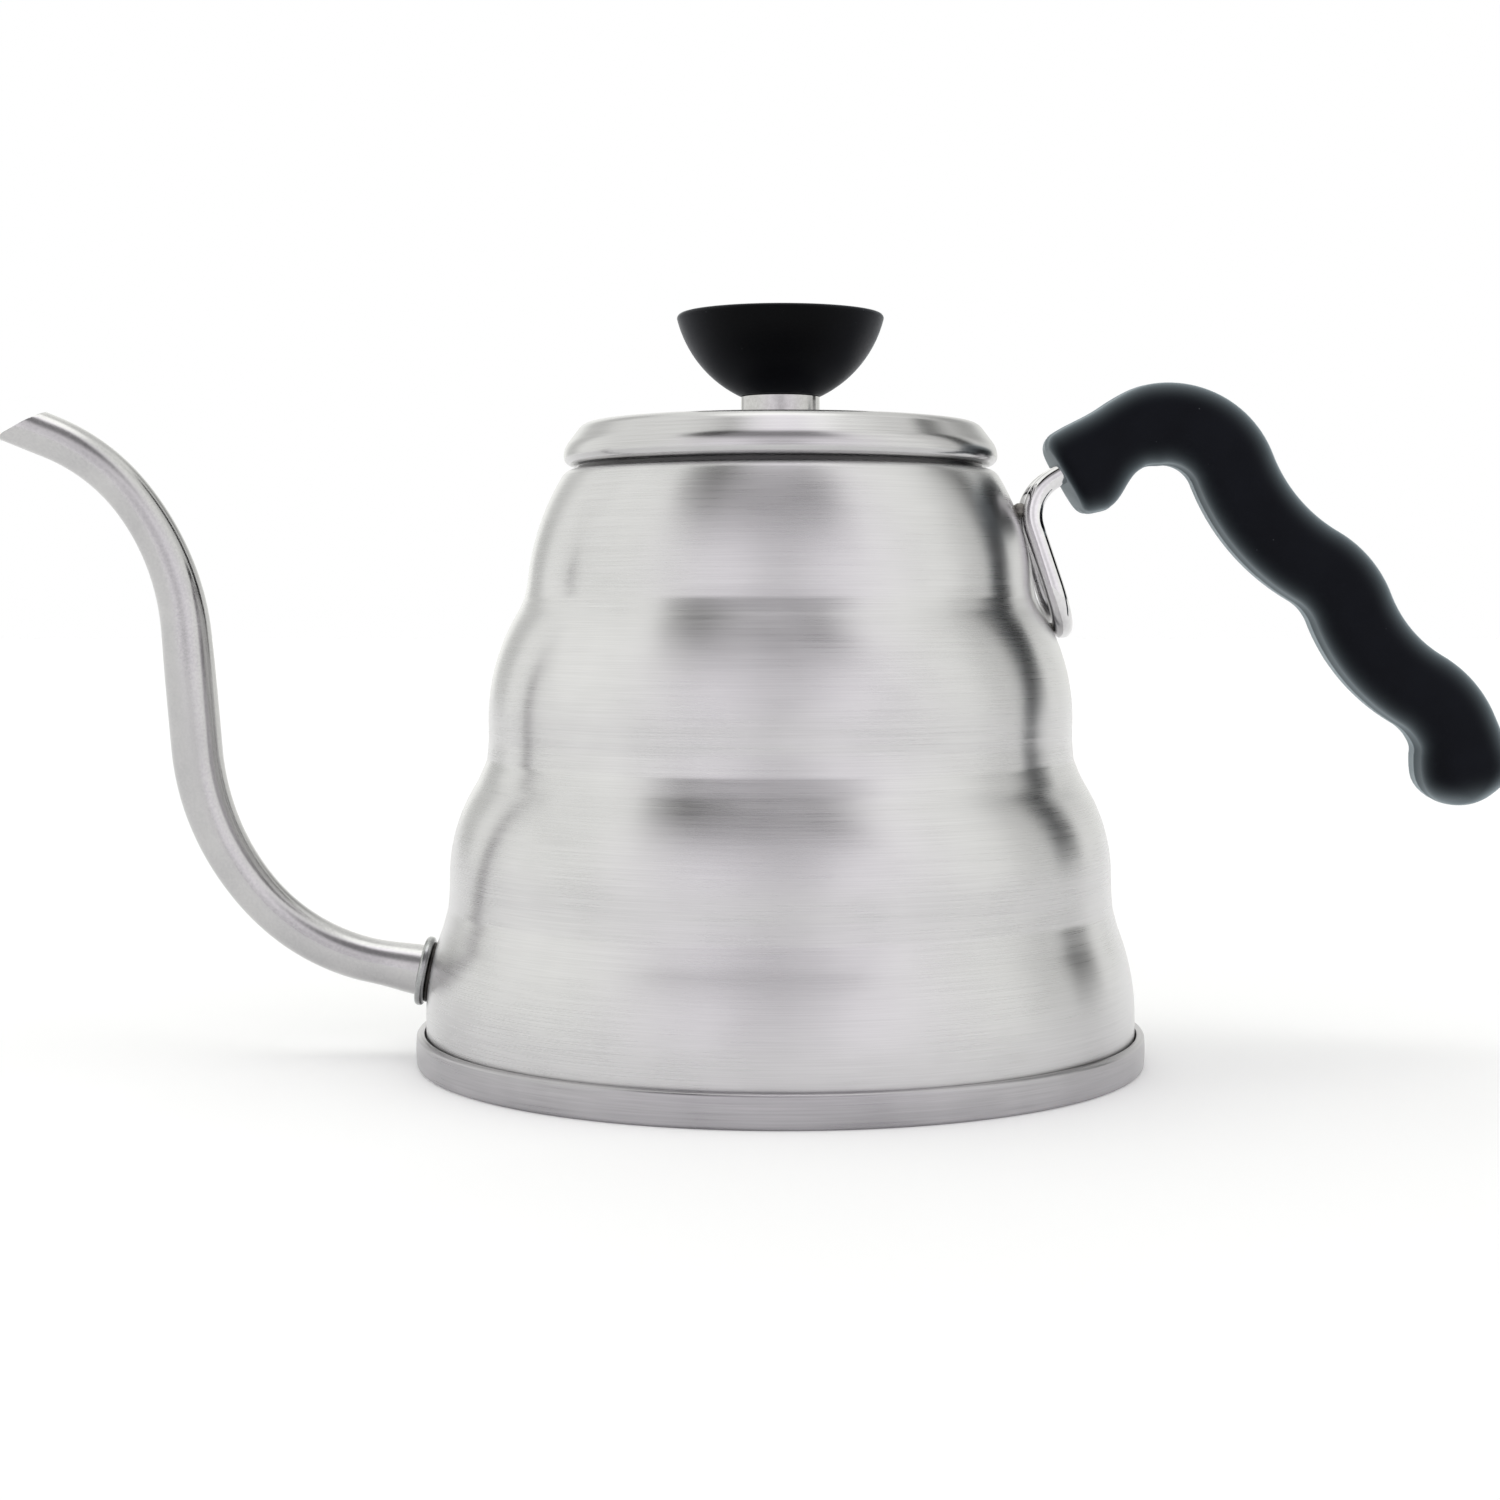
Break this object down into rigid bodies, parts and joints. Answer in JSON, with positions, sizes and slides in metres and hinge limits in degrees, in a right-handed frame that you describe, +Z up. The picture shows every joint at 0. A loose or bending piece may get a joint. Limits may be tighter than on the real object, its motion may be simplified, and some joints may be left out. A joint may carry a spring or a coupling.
{
  "type": "gooseneck kettle",
  "caption": "Stepped conical stove-top kettle with a thin gooseneck spout, a lift-off lid with a bowl-shaped knob and a wavy grip on a wire loop.",
  "frame": {"origin": "on the body's axis, at the plane of the flat bottom that the kettle stands on", "axes": "+Z up; the spout points to -X and the handle to +X; the kettle is mirror-symmetric about the X-Z plane"},
  "size_m": [0.2975, 0.144, 0.147],
  "materials": {
    "brushed_stainless": "circumferential hairline brushing",
    "satin_tube": "satin polished tube",
    "polished_steel": "polished stainless steel",
    "weld_bead": "cleaned weld",
    "black_phenolic": "moulded phenolic, matte",
    "brass": "turned brass",
    "seam_compound": "cured sealing compound"
  },
  "bodies": {
    "kettle": {"body_shell": "brushed_stainless", "base_plate": "brushed_stainless", "foot_ring": "brushed_stainless", "base_seal": "seam_compound", "spout_tube": "satin_tube", "spout_flange": "polished_steel", "spout_weld": "weld_bead", "handle_wire": "polished_steel", "handle_welds": "weld_bead", "handle_grip": "black_phenolic"},
    "lid": {"lid_cover": "brushed_stainless", "lid_skirt": "brushed_stainless", "knob_collar": "polished_steel", "knob": "black_phenolic", "knob_insert": "brass", "knob_screw": "polished_steel", "knob_washer": "polished_steel"}
  },
  "joints": [
    {"name": "lid_lift", "type": "slide", "parent": "kettle", "child": "lid", "axis": [0, 0, 1], "range_m": [0, 0.06]}
  ]
}
